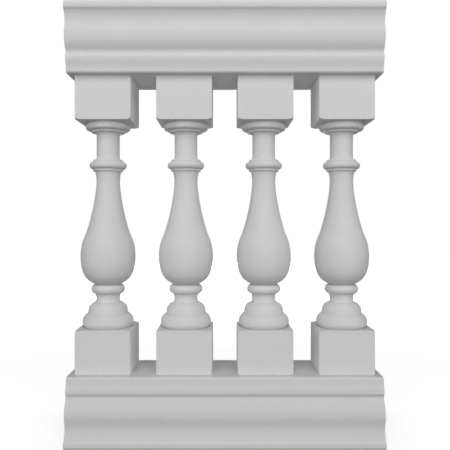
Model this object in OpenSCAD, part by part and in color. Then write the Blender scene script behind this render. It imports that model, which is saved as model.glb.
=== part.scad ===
// Stone balustrade, one bay: turned vase balusters set between a moulded bottom rail and a moulded top rail.
// Millimetres. The origin is the middle of the underside, X runs along the rails and the front faces -Y.

/* [Bay] */
// Number of balusters in the bay
baluster_count = 4; // [2:1:8]
// Distance between the axes of neighbouring balusters
baluster_pitch = 186.5; // [150:0.5:260]
// Length of rail past the block of each end baluster
rail_overhang = 15; // [4:0.5:80]
// Height of each baluster stone, block to block
baluster_h = 680; // [600:1:900]
// Thickness of the mortar bed under and over each baluster
bed_t = 3; // [2:0.5:10]
// Distance the mortar is raked back from the block faces
bed_rake = 0.3; // [0:0.1:4]

/* [Blocks] */
// Width and depth of the square blocks
block_w = 127.6; // [110:0.2:150]
// Height of the block at the foot
base_block_h = 98.6; // [60:0.2:140]
// Height of the block at the head
cap_block_h = 98; // [60:0.2:140]
// Width of the bevel on the blocks' free edges
arris = 1; // [0.5:0.5:5]

/* [Baluster base] */
// Radius of the base roll where it stands on the block
torus_foot_r = 54.5; // [50:0.5:54.5]
// Radius of the base roll at its fullest
torus_r = 60.2; // [55:0.2:63]
// Height from the block to the fullest part of the base roll
torus_foot_h = 11.6; // [9:0.2:15]
// Height from the fullest part of the base roll to the band above it
torus_crown_h = 20.8; // [16:0.2:26]
// Radius of the plain band above the base roll
band_r = 46.9; // [46.5:0.1:52]
// Height of the plain band
band_h = 6.4; // [3:0.2:12]
// Radius of the quarter round above the band
ovolo_r = 46.4; // [42:0.1:46.8]
// Height of the quarter round
ovolo_h = 19.3; // [15:0.1:26]
// Radius of the hollow above the quarter round
hollow_r = 28; // [22:0.5:30]
// Radius of the hollow's two flared ends
hollow_flare_r = 30.4; // [30.2:0.2:33]
// Height of the lower half of the hollow
hollow_foot_h = 8; // [5:0.1:14]
// Height of the upper half of the hollow
hollow_crown_h = 11.7; // [6:0.1:16]
// Radius of the bead under the vase
bead_r = 39.5; // [35:0.1:43]
// Height of the bead
bead_h = 23; // [18:0.5:30]

/* [Vase] */
// Radius of the vase where it meets the bead
vase_foot_r = 31.2; // [30.2:0.1:34]
// Radius of the belly
belly_r = 64.7; // [56:0.1:70]
// Height of the belly above the bead
belly_rise = 66; // [55:1:80]
// Fullness of the belly below its widest line
belly_fullness = 57; // [40:1:62]
// Steepness of the vase's foot, in degrees above level
vase_foot_angle = 38; // [20:1:60]
// Length over which the vase's foot keeps that slope
vase_foot_lead = 8; // [4:1:14]
// Height of the shoulder above the belly
shoulder_rise = 53; // [45:1:65]
// Radius of the shoulder, where the belly turns into the neck
shoulder_r = 52.8; // [44:0.2:55]
// Inward lean of the shoulder, as a share of its height
shoulder_lean = 0.42; // [0.3:0.02:0.5]
// Radius of the vase at the top of its neck
vase_neck_r = 27.6; // [22:0.2:30]

/* [Collar and neck] */
// Height of the flare from the vase's neck up to the collar
flare_h = 22.4; // [14:0.2:30]
// Radius of the flare under the collar
flare_r = 31.2; // [30.4:0.2:34]
// Radius of the bands on both sides of the collar
collar_band_r = 35.4; // [34.2:0.2:38]
// Height of the band under the collar
collar_foot_h = 4.8; // [3:0.2:9]
// Radius of the collar
collar_r = 43.9; // [40:0.1:48]
// Height of the collar
collar_h = 17.6; // [14:0.2:22]
// Height of the band on the collar
collar_crown_h = 4.4; // [2:0.2:8]
// Radius of the flared foot of the hollow on that band
collar_cove_r = 34; // [31:0.1:34]
// Height of the hollow from that band up to the upper neck
collar_cove_h = 6.9; // [6.8:0.1:10]
// Radius of the upper neck
neck_r = 27.3; // [22:0.1:30]
// Height of the upper neck
neck_h = 50.5; // [36:0.1:66]

/* [Head] */
// Height of the hollow from the upper neck to the head band
head_cove_h = 7.5; // [7.4:0.1:10]
// Radius of the flared end of that hollow
head_cove_r = 34.8; // [32:0.1:34.8]
// Radius of the head band
head_band_r = 39.2; // [38:0.1:42]
// Height of the head band
head_band_h = 4.8; // [2:0.1:7]
// Radius of the cushion under the block at its fullest
cushion_r = 52.8; // [50.5:0.1:58]
// Radius of the cushion where it ends over the head band
cushion_foot_r = 45.2; // [43:0.1:48]
// Height from the head band to the fullest part of the cushion
cushion_foot_h = 7.6; // [7.4:0.1:13]
// Height from the fullest part of the cushion to the block
cushion_crown_h = 9.6; // [8:0.2:14]
// Radius of the cushion where it meets the block
cushion_top_r = 50; // [44:0.5:52]

/* [Rail moulding] */
// Distance of the flat bed face past the block faces
bed_reach = 11.7; // [6:0.1:14]
// Radius of the rounded edge of the bed face
edge_round = 6.5; // [3:0.5:8]
// Height of the plain strip beside the rounded edge
strip_h = 2.5; // [1:0.5:8]
// Height of the small hollow beside the strip
small_hollow_h = 12.5; // [6:0.5:16]
// Outward flare of the small hollow
small_hollow_flare = 3.2; // [1.5:0.1:4.5]
// Reach of the roll past the block faces
roll_reach = 24.3; // [22.5:0.1:28]
// Height from the small hollow to the roll's fullest line
roll_foot_h = 13.2; // [9:0.1:18]
// Height from the roll's fullest line to the throat's deepest line
roll_crown_h = 10.8; // [8:0.1:16]
// Reach of the throat between roll and swell
throat_reach = 19.9; // [16:0.1:21.5]
// Reach of the swell, the widest soft round of the moulding
swell_reach = 34.1; // [31:0.1:38]
// Height from the throat to the swell's fullest line
swell_foot_h = 37.5; // [30:0.5:45]
// Reach of the long hollow above the swell
cove_reach = 28.2; // [25:0.1:30.5]
// Height from the swell's fullest line to the long hollow's deepest line
swell_crown_h = 29.7; // [24:0.1:36]
// Reach of the lip where the long hollow ends
lip_reach = 37.1; // [34:0.1:39.6]
// Height from the long hollow's deepest line to the lip
cove_crown_h = 24.9; // [19:0.1:30]
// Reach of the outer rim
rim_reach = 41.1; // [40:0.1:46]
// Height of the round from the lip to the rim's upright face
rim_foot_h = 6.2; // [5:0.1:9]
// Height of the rim's upright face
rim_face_h = 5; // [2:0.1:9]
// Radius of the rim's rounded outer edge
rim_round = 8.2; // [4:0.1:13]

/* [Hidden] */
// Largest turn from one point of a round stretch to the next, in degrees
arc_step = 10;
// Number of steps along each drawn-out curve of the vase
bend_steps = 12;
// Points nearer than this are one point
same_point = 0.01;
// Share of the curve from roll to throat that belongs to the roll
roll_share = 0.5;
// Share of the curve from throat to swell that belongs to the throat
throat_share = 0.2;
// Share of the curve from swell to long hollow that belongs to the swell
swell_share = 0.5;
// Heights over which the shoulder keeps its lean, below and above it
shoulder_lead = [8.5, 20.8];
// Heights over which the vase stays upright, above the belly and below the neck
upright_lead = [29, 37];
// Depth to which the turned stone runs on inside its blocks
root_depth = 20;
// Slices of a full turn
$fn = 96;

rail_l = (baluster_count - 1) * baluster_pitch + block_w + 2 * rail_overhang;
stone_colour = "gainsboro";
mortar_colour = "lightgray";

// Heights above the rail's bed face
strip_z = edge_round + strip_h;
small_hollow_z = strip_z + small_hollow_h;
roll_z = small_hollow_z + roll_foot_h;
throat_z = roll_z + roll_crown_h;
swell_z = throat_z + swell_foot_h;
cove_z = swell_z + swell_crown_h;
lip_z = cove_z + cove_crown_h;
rim_z = lip_z + rim_foot_h;
rim_edge_z = rim_z + rim_face_h;
rail_h = rim_edge_z + rim_round;

// Levels of the courses above the ground
base_bed_z = rail_h;
baluster_z = base_bed_z + bed_t;
cap_bed_z = baluster_z + baluster_h;
top_rail_z = cap_bed_z + bed_t;

// Heights above the underside of the baluster, from its foot up
torus_z = base_block_h + torus_foot_h;
band_z = torus_z + torus_crown_h;
ovolo_z = band_z + band_h;
hollow_foot_z = ovolo_z + ovolo_h;
hollow_z = hollow_foot_z + hollow_foot_h;
bead_foot_z = hollow_z + hollow_crown_h;
bead_z = bead_foot_z + bead_h / 2;
vase_foot_z = bead_foot_z + bead_h;
belly_z = vase_foot_z + belly_rise;
shoulder_z = belly_z + shoulder_rise;

// Heights above the underside of the baluster, from its head down
cap_block_z = baluster_h - cap_block_h;
cushion_z = cap_block_z - cushion_crown_h;
head_band_top_z = cushion_z - cushion_foot_h;
head_band_z = head_band_top_z - head_band_h;
neck_top_z = head_band_z - head_cove_h;
neck_foot_z = neck_top_z - neck_h;
collar_band_top_z = neck_foot_z - collar_cove_h;
collar_top_z = collar_band_top_z - collar_crown_h;
collar_z = collar_top_z - collar_h / 2;
collar_foot_z = collar_z - collar_h / 2;
flare_top_z = collar_foot_z - collar_foot_h;
vase_neck_z = flare_top_z - flare_h;

// Place of a baluster's axis along the rail
function axis_x(i) = (i - (baluster_count + 1) / 2) * baluster_pitch;

function reversed(points) = [for (i = [len(points) - 1:-1:0]) points[i]];

// An outline without repeated points
function outline(points) = [
    for (i = [0:len(points) - 1])
        if (i == 0 || norm(points[i] - points[i - 1]) > same_point) points[i]
];

// A circular arc that leaves point a upright and ends at point b
function arc_from(a, b) =
    let (d = b - a)
    let (k = (d.x * d.x + d.y * d.y) / (2 * d.x))
    let (turn = atan2(abs(d.y), abs(k) - abs(d.x)))
    let (n = max(2, ceil(turn / arc_step)))
    [for (i = [0:n]) a + [k * (1 - cos(turn * i / n)), sign(d.y) * abs(k) * sin(turn * i / n)]];

// A circular arc that leaves point a and ends upright at point b
function arc_to(a, b) = reversed(arc_from(b, a));

// A double curve, upright at both ends, that changes over from one arc to the other at the given share
function ogee(a, b, share) =
    let (m = a + share * (b - a))
    concat(arc_from(a, m), arc_to(m, b));

// A drawn-out curve that leaves a along the lead from_a and comes into b along the lead into_b
function bend(a, from_a, b, into_b) = [
    for (i = [0:bend_steps])
        let (t = i / bend_steps)
        pow(1 - t, 3) * a + 3 * pow(1 - t, 2) * t * (a + from_a)
            + 3 * (1 - t) * t * t * (b - into_b) + pow(t, 3) * b
];

// Half of the rail's moulding as reach past the block face against height above the bed face
function moulding() =
    let (flare_reach = bed_reach + edge_round + small_hollow_flare)
    let (roll = [roll_reach, roll_z])
    let (throat = [throat_reach, throat_z])
    let (swell = [swell_reach, swell_z])
    let (cove = [cove_reach, cove_z])
    let (lip = [lip_reach, lip_z])
    outline(concat(
        arc_to([bed_reach, 0], [bed_reach + edge_round, edge_round]),
        arc_from([bed_reach + edge_round, strip_z], [flare_reach, small_hollow_z]),
        arc_to([flare_reach, small_hollow_z], roll),
        ogee(roll, throat, roll_share),
        ogee(throat, swell, throat_share),
        ogee(swell, cove, swell_share),
        arc_from(cove, lip),
        arc_to(lip, [rim_reach, rim_z]),
        arc_from([rim_reach, rim_edge_z], [rim_reach - rim_round, rail_h])
    ));

// The rail's full section: the same moulding on the front and on the back
function rail_section() =
    let (half = moulding())
    concat(
        [for (p = half) [-block_w / 2 - p.x, p.y]],
        [for (p = reversed(half)) [block_w / 2 + p.x, p.y]]
    );

// Radius against height of the base mouldings, from the block up to the vase
function base_profile() =
    let (torus = [torus_r, torus_z])
    let (hollow = [hollow_r, hollow_z])
    let (bead = [bead_r, bead_z])
    concat(
        arc_to([torus_foot_r, base_block_h], torus),
        arc_from(torus, [band_r, band_z]),
        [[band_r, ovolo_z]],
        arc_from([ovolo_r, ovolo_z], [hollow_flare_r, hollow_foot_z]),
        arc_to([hollow_flare_r, hollow_foot_z], hollow),
        arc_from(hollow, [hollow_flare_r, bead_foot_z]),
        arc_to([hollow_flare_r, bead_foot_z], bead),
        arc_from(bead, [vase_foot_r, vase_foot_z])
    );

// Radius against height of the vase, from its foot over belly and shoulder to its neck
function vase_profile() =
    let (foot = [vase_foot_r, vase_foot_z])
    let (belly = [belly_r, belly_z])
    let (shoulder = [shoulder_r, shoulder_z])
    let (neck = [vase_neck_r, vase_neck_z])
    let (lean = [-shoulder_lean, 1])
    let (foot_lead = vase_foot_lead * [cos(vase_foot_angle), sin(vase_foot_angle)])
    concat(
        bend(foot, foot_lead, belly, [0, belly_fullness]),
        bend(belly, [0, upright_lead[0]], shoulder, shoulder_lead[0] * lean),
        bend(shoulder, shoulder_lead[1] * lean, neck, [0, upright_lead[1]]),
        arc_from(neck, [flare_r, flare_top_z])
    );

// Radius against height of the collar, the upper neck and the head, up to the block
function head_profile() =
    let (collar = [collar_r, collar_z])
    let (cushion = [cushion_r, cushion_z])
    concat(
        [[collar_band_r, flare_top_z]],
        arc_to([collar_band_r, collar_foot_z], collar),
        arc_from(collar, [collar_band_r, collar_top_z]),
        [[collar_band_r, collar_band_top_z]],
        arc_to([collar_cove_r, collar_band_top_z], [neck_r, neck_foot_z]),
        arc_from([neck_r, neck_top_z], [head_cove_r, head_band_z]),
        [[head_band_r, head_band_z], [head_band_r, head_band_top_z]],
        arc_to([cushion_foot_r, head_band_top_z], cushion),
        arc_from(cushion, [cushion_top_r, cap_block_z])
    );

// Half section of the turned stone, run on into both blocks
function turned_section() = outline(concat(
    [[0, base_block_h - root_depth], [torus_foot_r, base_block_h - root_depth]],
    base_profile(),
    vase_profile(),
    head_profile(),
    [[cushion_top_r, cap_block_z + root_depth], [0, cap_block_z + root_depth]]
));

module rail() {
    rotate([90, 0, 90])
        linear_extrude(rail_l, center = true)
            polygon(rail_section());
}

// A square prism that takes a bevel of the arris width off an edge along Z
module arris_cut(length) {
    rotate([0, 0, 45])
        cube([arris * sqrt(2), arris * sqrt(2), length], center = true);
}

// A square block standing on its bed face, with bevels on its upright edges and round its upper face
module block(height) {
    half = block_w / 2;
    difference() {
        translate([-half, -half, 0]) cube([block_w, block_w, height]);
        for (x = [-half, half], y = [-half, half])
            translate([x, y, height / 2]) arris_cut(2 * height);
        for (side = [0:90:270])
            rotate([0, 0, side])
                translate([0, half, height]) rotate([0, 90, 0]) arris_cut(2 * block_w);
    }
}

module baluster(i) {
    color(stone_colour)
        translate([axis_x(i), 0, baluster_z]) {
            block(base_block_h);
            rotate_extrude() polygon(turned_section());
            translate([0, 0, baluster_h]) mirror([0, 0, 1]) block(cap_block_h);
        }
}

module bed(i, z) {
    bed_w = block_w - 2 * bed_rake;
    color(mortar_colour)
        translate([axis_x(i) - bed_w / 2, -bed_w / 2, z])
            cube([bed_w, bed_w, bed_t]);
}

module bottom_rail() {
    color(stone_colour)
        translate([0, 0, rail_h]) mirror([0, 0, 1]) rail();
}

module top_rail() {
    color(stone_colour)
        translate([0, 0, top_rail_z]) rail();
}

bottom_rail();
top_rail();
for (i = [1:baluster_count]) {
    bed(i, base_bed_z);
    baluster(i);
    bed(i, cap_bed_z);
}
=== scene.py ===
"""A stone balustrade bay in light grey stone, under soft studio light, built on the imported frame."""
import math

import bmesh
import bpy
import numpy as np
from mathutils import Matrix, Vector, noise


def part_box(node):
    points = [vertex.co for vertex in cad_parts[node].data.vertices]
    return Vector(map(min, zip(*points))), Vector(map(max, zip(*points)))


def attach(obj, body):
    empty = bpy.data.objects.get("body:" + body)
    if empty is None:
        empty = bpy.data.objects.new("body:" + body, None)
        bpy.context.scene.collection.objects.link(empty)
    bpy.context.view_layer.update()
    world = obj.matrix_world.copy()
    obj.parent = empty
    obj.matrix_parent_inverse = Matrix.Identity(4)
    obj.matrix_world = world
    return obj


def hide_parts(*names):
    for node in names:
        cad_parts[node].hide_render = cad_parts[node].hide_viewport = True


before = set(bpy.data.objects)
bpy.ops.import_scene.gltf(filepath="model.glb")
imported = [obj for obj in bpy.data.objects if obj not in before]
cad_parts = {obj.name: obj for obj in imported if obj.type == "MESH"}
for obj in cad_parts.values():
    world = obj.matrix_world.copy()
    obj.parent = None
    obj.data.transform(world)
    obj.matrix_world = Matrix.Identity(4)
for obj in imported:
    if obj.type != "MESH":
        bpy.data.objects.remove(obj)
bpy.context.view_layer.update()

# Lengths are metres
MM = 0.001

# Points of the frame this close are one, and a path leaves out points within so many times that
SAME_POINT = 0.05 * MM
NEAR_STEPS = 2

# A smooth run of an outline ends at a sharp turn, or where a stretch is long and much longer than the next
CORNER_TURN = math.radians(17)
STRAIGHT_LENGTH = 3 * MM
STRAIGHT_SHARE = 2.5

# Spacing of the points on a redrawn outline, and the rounding of its creases with its reach in roundings
FINE_STEP = 0.25 * MM
FEWEST_STEPS = 2
CREASE_ROUNDING = 0.4 * MM
ROUNDING_REACH = 3

# The most that an outline turns, and runs on, between two rows of a mesh
ROW_TURN = math.radians(6)
ROW_SPACING = 7 * MM

# In half widths of a block from the axis: corners lie past the first, turned shapes within the second
CORNER_SHARE = 1.2
TURNED_SHARE = 1.15

# Radius of a block's upright corners, and of the edges at its free face, at a bed and at a rail's ends
BLOCK_CORNER = 0.9 * MM
BLOCK_ARRIS = 0.9 * MM
BED_ARRIS = 0.3 * MM
RAIL_END_ARRIS = 0.7 * MM
ARC_STEPS = 6
BED_ARC_STEPS = 3
EDGE_SUPPORT = 0.5 * MM

# Upright corners are worn rounder over a short length before the free face, with rings at shares of it
WORN_CORNER = 3.0 * MM
WORN_LENGTH = 5.0 * MM
WORN_SHARES = [0.25, 0.5, 0.75, 0.9]

# The corners of a free face are worn down, less and less along the face and along the upright edge
CORNER_DROP = 4.5 * MM
CORNER_REACH = 12 * MM
CORNER_DEPTH = 12 * MM

# Mesh points on flat faces: columns on a block's side, spacing along a stone, and shares across a face
FACE_COLUMNS = 36
STATION_SPACING = 11 * MM
FLAT_SHARES = [0.006, 0.08, 0.3, 0.5, 0.7, 0.92, 0.994]
LEDGE_SHARES = [0.3, 0.65, 0.95]

# Slow unevenness of a hand-finished face, the fine wear that bites into it, and each piece's shift in both
DRESSING_DEPTH = 0.12 * MM
DRESSING_SIZE = 45 * MM
RUBBING_DEPTH = 0.04 * MM
RUBBING_SIZE = 9 * MM
DRESSING_SHIFT = (3.7, 1.3, 2.1)

# Mortar joint: depth of its hollow, and rings at shares of its height
JOINT_HOLLOW = 0.1 * MM
JOINT_SHARES = [0, 0.2, 0.5, 0.8, 1]

# Camera: straight in front, level with the middle of the bay
CAMERA_DISTANCE = 1.3207
CAMERA_HEIGHT = 0.5
LENS_MM = 44.0
SENSOR_MM = 36.0
CENTRE_SHIFT = 0.0004

# Each lamp's turn from the front and height angle in degrees, distance, width, and power in watts
LAMPS = {
    "left_key": (-20, 40, 4.5, 1.9, 37.5),
    "right_key": (20, 40, 4.5, 1.9, 37.5),
    "left_fill": (-20, 5, 4.5, 1.9, 34.0),
    "right_fill": (20, 5, 4.5, 1.9, 34.0),
    "left_side": (-60, 10, 4.5, 1.9, 33.5),
    "right_side": (60, 10, 4.5, 1.9, 33.5),
    "overhead": (0, 90, 3.5, 0.3, 15.0),
    "left_back": (-165, 0, 2.8, 0.7, 14.0),
    "right_back": (165, 0, 2.8, 0.7, 14.0),
    "far_back": (180, 0, 6.0, 0.9, 70.0),
}
LAMP_AIM = Vector((0.0, 0.0, 0.5))

# The sky adds a little light of its own, and is white where it is seen
WHITE = (1.0, 1.0, 1.0, 1.0)
SKY_LEVEL = 0.01
SKY_SEEN_LEVEL = 1.0

# The floor lights the stones little, is paler where it is seen, and glows white away from the bay
FLOOR_SIZE = 30.0
FLOOR_DROP = 0.5 * MM
FLOOR_COLOUR = (0.20, 0.20, 0.20, 1.0)
FLOOR_SEEN_COLOUR = (0.60, 0.60, 0.60, 1.0)
FLOOR_GLOW = 0.71
GLOW_START = 1.0
GLOW_END = 3.2

# Grey of each kind of piece: lighter and darker copies of one stone grey that offset how the light falls on
# each kind, lighter on the balusters and darker on the bottom rail; painted light and shade
LIGHT_OFFSET_GREYS = {"bottom_rail": 0.68, "top_rail": 0.70, "baluster": 0.72, "bed": 0.68}

# Size and detail of the cloudy markings, size of the spots, and each stone's shift in the markings
CLOUDS = (90 * MM, 4)
PATCHES = (14 * MM, 3)
GRAIN = (1.1 * MM, 2)
NOISE_ROUGHNESS = 0.55
FLECK_SIZE = 2.6 * MM
PORE_SIZE = 11 * MM
MARKING_SHIFT = (1.7, 0.9, 2.3)

# Where a marking begins and where it is full: by distance from a spot's middle, by patch, and by pointiness
FLECK_RIM = (0.2, 0.1)
PORE_RIM = (0.09, 0.05)
PORE_PATCH = (0.48, 0.56)
WORN_EDGE = (0.510, 0.525)
# painted shade: concave hollows, found by pointiness, are darkened
HOLLOW_SHADE_POINTINESS = (0.496, 0.486)

# How far each marking lightens the stone, or darkens it where the number is negative
CLOUD_TONE = 0.05
PATCH_TONE = 0.06
GRAIN_TONE = 0.10
FLECK_TONE = -0.07
PORE_TONE = -0.22
WORN_TONE = 0.04
# how far the painted shade in hollows darkens the stone
PAINTED_HOLLOW_SHADE_TONE = -0.05

# Painted shade, found by ambient occlusion, lies in narrow creases that face up, on the balusters alone
CREASE_SHADE_REACH = 5 * MM
CREASE_SHADE_SAMPLES = 8
CREASE_SHADE_SHELTER = (0.95, 0.55)
CREASE_SHADE_SLOPE = (0.1, 0.6)
CREASE_SHADE_TONE = -0.38

# Finish of stone and mortar
BASE_ROUGHNESS = 0.78
PATCH_ROUGHNESS = 0.16
SPECULAR_LEVEL = 0.25
PATCH_RELIEF = 0.8
PORE_RELIEF = -2.5
BUMP_STRENGTH = 0.35
STONE_GRAIN_DEPTH = 0.3 * MM
MORTAR_GRAIN_DEPTH = 0.5 * MM
MORTAR_SEED = 40


# Outlines

def node_points(node):
    """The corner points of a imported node."""
    return np.array([v.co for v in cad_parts[node].data.vertices])


def upright_axis(node):
    """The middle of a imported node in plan, on the ground."""
    low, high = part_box(node)
    return np.array([(low.x + high.x) / 2, (low.y + high.y) / 2, 0])


def climb(points):
    """The different points from the lowest to the highest.
    On a ledge the end that is nearer to the last point comes first."""
    keys = np.unique(np.round(points / SAME_POINT).astype(int), axis=0)
    path = []
    for height in np.unique(keys[:, 1]):
        ledge = sorted(keys[keys[:, 1] == height].tolist())
        last = path[-1] if path else None
        if last and abs(ledge[-1][0] - last[0]) < abs(ledge[0][0] - last[0]):
            ledge.reverse()
        path += [
            key for key in ledge
            if not last or max(abs(key[0] - last[0]), abs(key[1] - last[1])) > NEAR_STEPS
        ]
    return np.array(path) * SAME_POINT


def runs(path):
    """The smooth stretches of a path, split at its creases and at the ends of its straight stretches."""
    step = np.diff(path, axis=0)
    length = np.hypot(step[:, 0], step[:, 1])
    heading = np.unwrap(np.arctan2(step[:, 1], step[:, 0]))
    cuts = [0]
    for i in range(1, len(path) - 1):
        short, long = sorted((length[i - 1], length[i]))
        straight = long > STRAIGHT_LENGTH and long > STRAIGHT_SHARE * short
        if straight or abs(heading[i] - heading[i - 1]) > CORNER_TURN:
            cuts.append(i)
    cuts.append(len(path) - 1)
    return [path[a:b + 1] for a, b in zip(cuts, cuts[1:])]


def smooth_run(run):
    """Evenly spaced points on a smooth curve through the points of a run, without the last one."""
    step = np.diff(run, axis=0)
    along = np.concatenate([[0], np.cumsum(np.hypot(step[:, 0], step[:, 1]))])
    count = max(FEWEST_STEPS, math.ceil(along[-1] / FINE_STEP))
    place = np.linspace(0, along[-1], count + 1)[:-1]
    order = 2 if len(run) > 2 else 1
    slope = np.gradient(run, along, axis=0, edge_order=order)
    k = np.clip(np.searchsorted(along, place, side="right") - 1, 0, len(along) - 2)
    gap = (along[k + 1] - along[k])[:, None]
    t = (place - along[k])[:, None] / gap
    return (
        (1 + 2 * t) * (1 - t) ** 2 * run[k]
        + t * (1 - t) ** 2 * gap * slope[k]
        + t * t * (3 - 2 * t) * run[k + 1]
        + t * t * (t - 1) * gap * slope[k + 1]
    )


def soften(points):
    """The points averaged with their neighbours, so that creases come out slightly rounded."""
    reach = math.ceil(ROUNDING_REACH * CREASE_ROUNDING / FINE_STEP)
    weights = np.exp(-0.5 * (np.arange(-reach, reach + 1) * FINE_STEP / CREASE_ROUNDING) ** 2)
    weights /= weights.sum()
    before = 2 * points[0] - points[reach:0:-1]
    after = 2 * points[-1] - points[-2:-reach - 2:-1]
    padded = np.concatenate([before, points, after])
    return np.column_stack([np.convolve(padded[:, c], weights, mode="valid") for c in (0, 1)])


def thin(points):
    """The points that the rows of a mesh need: close on bends, far apart on straight stretches."""
    step = np.diff(points, axis=0)
    heading = np.unwrap(np.arctan2(step[:, 1], step[:, 0]))
    kept = [0]
    for i in range(1, len(points) - 1):
        far = np.hypot(*(points[i] - points[kept[-1]])) >= ROW_SPACING
        if far or abs(heading[i] - heading[kept[-1]]) >= ROW_TURN:
            kept.append(i)
    kept.append(len(points) - 1)
    return points[kept]


def fine_outline(path):
    """An outline from the frame, redrawn with smooth rounds and slightly rounded creases."""
    dense = [smooth_run(run) for run in runs(path)] + [path[-1:]]
    return thin(soften(np.concatenate(dense)))


def quarter_turn(radius, steps):
    """Pairs of setback and rise on an edge rounded to the radius, from the upright to the level face."""
    return [
        (radius * (1 - math.cos(a)), radius * math.sin(a))
        for a in np.linspace(0, math.pi / 2, steps + 1)
    ]


# Meshes

def new_object(name, data):
    """An object with the given data, linked to the scene."""
    made = bpy.data.objects.new(name, data)
    bpy.context.scene.collection.objects.link(made)
    return made


def patchy(place, size, shift):
    """Smooth noise from 0 to 1 whose bumps are about as large as the given size."""
    return 0.5 + 0.5 * noise.noise(Vector(place) / size + shift)


def dress(mesh, seed):
    """Sets the surface back by slow and fine unevenness, so that no face is dead flat."""
    count = len(mesh.vertices)
    place = np.empty(count * 3)
    normal = np.empty(count * 3)
    mesh.vertices.foreach_get("co", place)
    mesh.vertices.foreach_get("normal", normal)
    place = place.reshape(-1, 3)
    shift = Vector([seed * amount for amount in DRESSING_SHIFT])
    depth = np.array([
        DRESSING_DEPTH * patchy(p, DRESSING_SIZE, shift) + RUBBING_DEPTH * patchy(p, RUBBING_SIZE, shift)
        for p in place
    ])
    place -= normal.reshape(-1, 3) * np.clip(depth, 0, None)[:, None]
    mesh.vertices.foreach_set("co", place.ravel())
    mesh.update()


def make_piece(name, points, faces, node, material, seed):
    """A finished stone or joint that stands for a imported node."""
    mesh = bpy.data.meshes.new(name)
    mesh.from_pydata(points.tolist(), [], faces)
    shape = bmesh.new()
    shape.from_mesh(mesh)
    bmesh.ops.recalc_face_normals(shape, faces=shape.faces)
    shape.to_mesh(mesh)
    shape.free()
    mesh.shade_smooth()
    dress(mesh, seed)
    mesh.materials.append(material)
    piece = new_object(name, mesh)
    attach(piece, "root")
    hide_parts(node)


def stitch(rings, size):
    """Faces between neighbouring closed rings of points."""
    return [
        (r * size + k, r * size + (k + 1) % size, (r + 1) * size + (k + 1) % size, (r + 1) * size + k)
        for r in range(rings - 1)
        for k in range(size)
    ]


def stacked(rings):
    """Points and faces of a closed mesh from a stack of outlines, each with its height."""
    size = len(rings[0][0])
    points = np.concatenate([np.column_stack([ring, np.full(size, z)]) for ring, z in rings])
    last = (len(rings) - 1) * size
    faces = stitch(len(rings), size) + [tuple(range(size)), tuple(range(last, last + size))]
    return points, faces


# Rails

def close_end(points, faces, start, rows, size):
    """Closes a rail end with a grid of faces between the front half and the back half of its outline."""
    columns = len(FLAT_SHARES)
    index = np.empty((rows, columns + 2), int)
    index[:, 0] = start + np.arange(rows)
    index[:, -1] = start + rows + columns + np.arange(rows)[::-1]
    index[-1, 1:-1] = start + rows + np.arange(columns)
    index[0, 1:-1] = start + size - columns + np.arange(columns)[::-1]
    new = []
    for row in range(1, rows - 1):
        a, b = points[index[row, 0]], points[index[row, -1]]
        index[row, 1:-1] = len(points) + len(new) + np.arange(columns)
        new += [a + share * (b - a) for share in FLAT_SHARES]
    faces += [
        (index[r, c], index[r + 1, c], index[r + 1, c + 1], index[r, c + 1])
        for r in range(rows - 1)
        for c in range(columns + 1)
    ]
    return np.concatenate([points, new]), faces


def rail(node, material, seed):
    """A moulded rail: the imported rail's outline drawn finer, run along X, with eased ends."""
    low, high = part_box(node)
    points = node_points(node)
    end = points[points[:, 0] > high.x - SAME_POINT]
    front = fine_outline(climb(end[end[:, 1] < 0][:, 1:]))
    back = front[::-1] * [-1, 1]
    across = np.array(FLAT_SHARES)[:, None]
    top = front[-1] + across * (back[0] - front[-1])
    bottom = back[-1] + across * (front[0] - back[-1])
    loop = np.concatenate([front, top, back, bottom])
    size = len(loop)
    tangent = np.roll(loop, -1, axis=0) - np.roll(loop, 1, axis=0)
    inward = np.column_stack([tangent[:, 1], -tangent[:, 0]]) / np.linalg.norm(tangent, axis=1)[:, None]

    ease = quarter_turn(RAIL_END_ARRIS, ARC_STEPS)
    first = [(low.x + RAIL_END_ARRIS - rise, setback) for setback, rise in reversed(ease)]
    start = low.x + RAIL_END_ARRIS + EDGE_SUPPORT
    stop = high.x - RAIL_END_ARRIS - EDGE_SUPPORT
    middle = [(x, 0.0) for x in np.linspace(start, stop, round((stop - start) / STATION_SPACING))]
    last = [(low.x + high.x - x, setback) for x, setback in reversed(first)]
    stations = first + middle + last

    rings = [np.column_stack([np.full(size, x), loop + setback * inward]) for x, setback in stations]
    points = np.concatenate(rings)
    faces = stitch(len(stations), size)
    for ring in (0, len(stations) - 1):
        points, faces = close_end(points, faces, ring * size, len(front), size)
    make_piece(node + "_stone", points, faces, node, material, seed)


# Balusters and joints

def square_ring(half, corner):
    """A square outline with rounded corners, as many points for every size."""
    reach = half - corner
    rim = max(0.0, 1 - EDGE_SUPPORT / reach)
    face = np.concatenate([[-1], np.linspace(-rim, rim, FACE_COLUMNS), [1]])
    turn = np.linspace(0, math.pi / 2, ARC_STEPS + 1)[1:-1]
    side = np.concatenate([
        np.column_stack([np.full(len(face), half), face * reach]),
        np.column_stack([reach + corner * np.cos(turn), reach + corner * np.sin(turn)]),
    ])
    quarters = [side]
    for _ in range(3):
        quarters.append(np.column_stack([-quarters[-1][:, 1], quarters[-1][:, 0]]))
    return np.concatenate(quarters)


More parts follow.
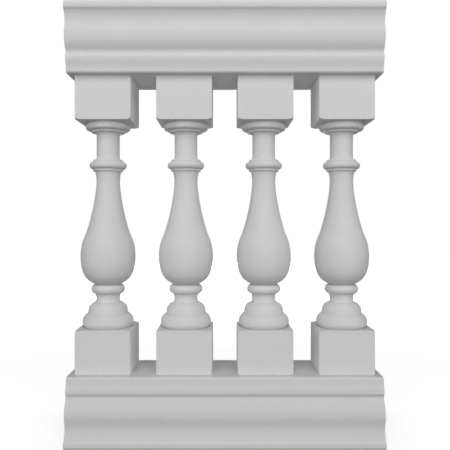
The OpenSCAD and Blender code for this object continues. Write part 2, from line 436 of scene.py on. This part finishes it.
def block_rings(half, foot, head):
    """Rings of a square block from its bed face to its free face, as pairs of outline and height.
    The upright corners are worn rounder where they reach the free face."""
    up = 1 if head > foot else -1
    rings = []
    for setback, rise in reversed(quarter_turn(BED_ARRIS, BED_ARC_STEPS)):
        rings.append((square_ring(half - setback, BLOCK_CORNER), foot + up * (BED_ARRIS - rise)))
    start = foot + up * (BED_ARRIS + EDGE_SUPPORT)
    stop = head - up * (BLOCK_ARRIS + WORN_LENGTH)
    for z in np.linspace(start, stop, 1 + round(abs(stop - start) / STATION_SPACING)):
        rings.append((square_ring(half, BLOCK_CORNER), z))
    for share in WORN_SHARES:
        corner = BLOCK_CORNER + share * share * (WORN_CORNER - BLOCK_CORNER)
        rings.append((square_ring(half, corner), stop + up * share * WORN_LENGTH))
    for setback, rise in quarter_turn(BLOCK_ARRIS, ARC_STEPS):
        rings.append((square_ring(half - setback, WORN_CORNER), head - up * (BLOCK_ARRIS - rise)))
    rings.append((square_ring(half - BLOCK_ARRIS - EDGE_SUPPORT, WORN_CORNER), head))
    return rings


def blended(a, b):
    """Rings on a flat face between two outlines."""
    return [(a[0] + share * (b[0] - a[0]), a[1]) for share in LEDGE_SHARES]


def wear_corners(points, half, face, up):
    """Wears down the four corners of a block where its upright edges reach the free face."""
    reach = np.hypot(half - np.abs(points[:, 0]), half - np.abs(points[:, 1]))
    near = np.clip(1 - reach / CORNER_REACH, 0, 1) ** 2
    close = np.clip(1 - np.abs(points[:, 2] - face) / CORNER_DEPTH, 0, 1)
    points[:, 2] -= up * CORNER_DROP * near * close


def baluster(node, material, seed):
    """A turned baluster with its two blocks, as one closed mesh of rings."""
    low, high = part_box(node)
    axis = upright_axis(node)
    points = node_points(node) - axis
    height = points[:, 2]
    half = np.abs(points[height < low.z + SAME_POINT][:, :2]).max()
    radius = np.hypot(points[:, 0], points[:, 1])
    corner_heights = height[radius > CORNER_SHARE * half]
    middle = (low.z + high.z) / 2
    foot_top = corner_heights[corner_heights < middle].max()
    head_foot = corner_heights[corner_heights > middle].min()
    between = (height > foot_top - SAME_POINT) & (height < head_foot + SAME_POINT)
    turned = between & (radius < TURNED_SHARE * half)
    profile = fine_outline(climb(np.column_stack([radius, height])[turned]))

    spoke = square_ring(half, BLOCK_CORNER)
    spoke /= np.linalg.norm(spoke, axis=1)[:, None]
    foot = block_rings(half, low.z, foot_top)
    head = block_rings(half, high.z, head_foot)
    rings = foot + blended(foot[-1], (spoke * profile[0, 0], foot_top))
    rings += [(spoke * r, z) for r, z in profile]
    rings += blended((spoke * profile[-1, 0], head_foot), head[-1]) + head[::-1]

    mesh_points, faces = stacked(rings)
    wear_corners(mesh_points, half, foot_top, 1)
    wear_corners(mesh_points, half, head_foot, -1)
    make_piece(node + "_stone", mesh_points + axis, faces, node, material, seed)


def joint(node, material, seed):
    """A mortar joint, rubbed slightly hollow between the stones."""
    low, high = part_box(node)
    half = (high.x - low.x) / 2
    rings = []
    for share in JOINT_SHARES:
        hollow = JOINT_HOLLOW * 4 * share * (1 - share)
        rings.append((square_ring(half - hollow, BLOCK_CORNER), low.z + share * (high.z - low.z)))
    points, faces = stacked(rings)
    make_piece(node + "_mortar", points + upright_axis(node), faces, node, material, seed)


# Materials

def feed(tree, socket, value):
    """Links an output to an input, or sets the input to a plain value."""
    if isinstance(value, bpy.types.NodeSocket):
        tree.links.new(value, socket)
    else:
        socket.default_value = value


def add(tree, kind, settings=None, **inputs):
    """A shader node with its settings, and its inputs set or linked by name."""
    node = tree.nodes.new(kind)
    for name, value in (settings or {}).items():
        setattr(node, name, value)
    for name, value in inputs.items():
        feed(tree, node.inputs[name.replace("_", " ")], value)
    return node


def combine(tree, operation, *values):
    """The result of a sum on numbers or outputs."""
    node = tree.nodes.new("ShaderNodeMath")
    node.operation = operation
    for socket, value in zip(node.inputs, values):
        feed(tree, socket, value)
    return node.outputs[0]


def mixed(tree, share, first, second):
    """Two shaders mixed, the first where the share is 0 and the second where it is 1."""
    node = add(tree, "ShaderNodeMixShader", Fac=share)
    feed(tree, node.inputs[1], first)
    feed(tree, node.inputs[2], second)
    return node.outputs["Shader"]


def ramp(tree, value, low, high):
    """A value stretched so that low gives 0 and high gives 1."""
    node = add(tree, "ShaderNodeMapRange", Value=value, From_Min=low, From_Max=high)
    return node.outputs["Result"]


def mottle(tree, place, size, detail):
    """Cloudy noise whose patches are about as large as the given size."""
    inputs = {"Scale": 1 / size, "Detail": detail, "Roughness": NOISE_ROUGHNESS}
    return add(tree, "ShaderNodeTexNoise", Vector=place, **inputs).outputs["Fac"]


def spots(tree, place, size, rim):
    """Scattered spots, one to each cell of the given size, that fade out at the rim."""
    distance = add(tree, "ShaderNodeTexVoronoi", Vector=place, Scale=1 / size).outputs["Distance"]
    return ramp(tree, distance, *rim)


def painted_crease_shade(tree):
    """Painted shade: 1 deep in narrow creases that face up, and 0 on open faces and on what faces down."""
    settings = {"samples": CREASE_SHADE_SAMPLES, "only_local": True}
    shelter = add(tree, "ShaderNodeAmbientOcclusion", settings, Distance=CREASE_SHADE_REACH).outputs["AO"]
    normal = add(tree, "ShaderNodeNewGeometry").outputs["Normal"]
    slope = add(tree, "ShaderNodeSeparateXYZ", Vector=normal).outputs["Z"]
    return combine(tree, "MULTIPLY", ramp(tree, shelter, *CREASE_SHADE_SHELTER), ramp(tree, slope, *CREASE_SHADE_SLOPE))


def stone(name, grey, seed, grain_depth, crease_shaded):
    """Fine-grained stone: clouds, patches, sandy grain, dark flecks and small pores.
    Worn edges are lighter, hollows are darkened with painted shade, and, where asked, more painted shade
    goes into creases that face up."""
    material = bpy.data.materials.new(name)
    material.use_nodes = True
    tree = material.node_tree
    surface = tree.nodes["Principled BSDF"].inputs
    where = add(tree, "ShaderNodeTexCoord").outputs["Object"]
    shift = [seed * amount for amount in MARKING_SHIFT]
    place = add(tree, "ShaderNodeMapping", Vector=where, Location=shift).outputs["Vector"]
    edge = add(tree, "ShaderNodeNewGeometry").outputs["Pointiness"]

    patches = mottle(tree, place, *PATCHES)
    grain = mottle(tree, place, *GRAIN)
    pitted = ramp(tree, patches, *PORE_PATCH)
    pores = combine(tree, "MULTIPLY", spots(tree, place, PORE_SIZE, PORE_RIM), pitted)
    markings = [
        (mottle(tree, place, *CLOUDS), CLOUD_TONE),
        (patches, PATCH_TONE),
        (grain, GRAIN_TONE),
        (spots(tree, place, FLECK_SIZE, FLECK_RIM), FLECK_TONE),
        (pores, PORE_TONE),
        (ramp(tree, edge, *WORN_EDGE), WORN_TONE),
        # painted shade in the hollows
        (ramp(tree, edge, *HOLLOW_SHADE_POINTINESS), PAINTED_HOLLOW_SHADE_TONE),
    ]
    # painted shade in the creases that face up, for stones that ask for it
    if crease_shaded:
        markings.append((painted_crease_shade(tree), CREASE_SHADE_TONE))
    tone = 1.0 - (CLOUD_TONE + PATCH_TONE + GRAIN_TONE) / 2
    for marking, change in markings:
        tone = combine(tree, "MULTIPLY_ADD", marking, change, tone)
    shade = add(tree, "ShaderNodeHueSaturation", Color=(grey, grey, grey, 1.0), Value=tone)
    feed(tree, surface["Base Color"], shade.outputs["Color"])

    roughness = combine(tree, "MULTIPLY_ADD", patches, PATCH_ROUGHNESS, BASE_ROUGHNESS)
    feed(tree, surface["Roughness"], roughness)
    feed(tree, surface["Specular IOR Level"], SPECULAR_LEVEL)

    relief = combine(tree, "MULTIPLY_ADD", patches, PATCH_RELIEF, grain)
    relief = combine(tree, "MULTIPLY_ADD", pores, PORE_RELIEF, relief)
    bump = add(tree, "ShaderNodeBump", Height=relief, Strength=BUMP_STRENGTH, Distance=grain_depth)
    feed(tree, surface["Normal"], bump.outputs["Normal"])
    return material


def seen_directly(tree):
    """1 for rays from the camera, also after a mirror or glass, and 0 for rays that light the scene."""
    path = add(tree, "ShaderNodeLightPath").outputs
    seen = combine(tree, "MAXIMUM", path["Is Camera Ray"], path["Is Glossy Ray"])
    return combine(tree, "MAXIMUM", seen, path["Is Transmission Ray"])


def floor_material():
    """Pale floor that shows white where it is fully lit and keeps the shadow of what stands on it."""
    material = bpy.data.materials.new("pale_floor")
    material.use_nodes = True
    tree = material.node_tree
    tree.nodes.clear()
    seen = seen_directly(tree)
    plain = add(tree, "ShaderNodeBsdfDiffuse", Color=FLOOR_COLOUR).outputs["BSDF"]
    pale = add(tree, "ShaderNodeBsdfDiffuse", Color=FLOOR_SEEN_COLOUR).outputs["BSDF"]
    where = add(tree, "ShaderNodeTexCoord").outputs["Object"]
    reach = add(tree, "ShaderNodeVectorMath", {"operation": "LENGTH"}, Vector=where).outputs["Value"]
    away = ramp(tree, reach, GLOW_START, GLOW_END)
    level = combine(tree, "MULTIPLY_ADD", away, 1 - FLOOR_GLOW, FLOOR_GLOW)
    glow = add(tree, "ShaderNodeEmission", Strength=combine(tree, "MULTIPLY", level, seen))
    both = add(tree, "ShaderNodeAddShader")
    feed(tree, both.inputs[0], mixed(tree, seen, plain, pale))
    feed(tree, both.inputs[1], glow.outputs["Emission"])
    add(tree, "ShaderNodeOutputMaterial", Surface=both.outputs["Shader"])
    return material


# Stage

def make_floor():
    """A wide level floor just under the bay."""
    half = FLOOR_SIZE / 2
    mesh = bpy.data.meshes.new("floor")
    corners = [(-half, -half), (half, -half), (half, half), (-half, half)]
    mesh.from_pydata([(x, y, -FLOOR_DROP) for x, y in corners], [], [(0, 1, 2, 3)])
    mesh.materials.append(floor_material())
    new_object("floor", mesh)


def make_world():
    """An even pale sky for light, white where it is seen."""
    world = bpy.data.worlds.new("studio")
    bpy.context.scene.world = world
    world.use_nodes = True
    tree = world.node_tree
    tree.nodes.clear()
    light = add(tree, "ShaderNodeBackground", Color=WHITE, Strength=SKY_LEVEL).outputs["Background"]
    white = add(tree, "ShaderNodeBackground", Color=WHITE, Strength=SKY_SEEN_LEVEL).outputs["Background"]
    add(tree, "ShaderNodeOutputWorld", Surface=mixed(tree, seen_directly(tree), light, white))


def make_lamp(name, turn, height, distance, width, power):
    """A square soft light that looks at the middle of the bay."""
    data = bpy.data.lights.new(name, "AREA")
    data.shape = "SQUARE"
    data.size = width
    data.energy = power
    side = math.radians(turn)
    up = math.radians(height)
    away = Vector((math.cos(up) * math.sin(side), -math.cos(up) * math.cos(side), math.sin(up)))
    lamp = new_object(name, data)
    lamp.location = LAMP_AIM + distance * away
    lamp.rotation_euler = (-away).to_track_quat("-Z", "Y").to_euler()


def make_camera():
    """The camera of the photograph: level, straight in front of the bay."""
    data = bpy.data.cameras.new("camera")
    data.lens = LENS_MM
    data.sensor_width = SENSOR_MM
    data.shift_x = CENTRE_SHIFT
    camera = new_object("camera", data)
    camera.location = (0.0, -CAMERA_DISTANCE, CAMERA_HEIGHT)
    camera.rotation_euler = (math.pi / 2, 0.0, 0.0)
    bpy.context.scene.camera = camera


make_camera()
bpy.context.scene.view_settings.view_transform = "Standard"
make_world()
for name, setting in LAMPS.items():
    make_lamp(name, *setting)
make_floor()

# each kind's grey is a lighter or darker copy of one stone grey: painted light and shade
mortar = stone("lime_mortar", LIGHT_OFFSET_GREYS["bed"], MORTAR_SEED, MORTAR_GRAIN_DEPTH, False)
builders = {"bottom_rail": rail, "top_rail": rail, "baluster": baluster, "bed": joint}
for seed, name in enumerate(sorted(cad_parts)):
    kind = next(k for k in builders if k in name)
    finish = mortar
    if kind != "bed":
        # the balusters get painted shade in their creases that face up
        finish = stone(name + "_finish", LIGHT_OFFSET_GREYS[kind], seed, STONE_GRAIN_DEPTH, kind == "baluster")
    builders[kind](name, finish, seed)
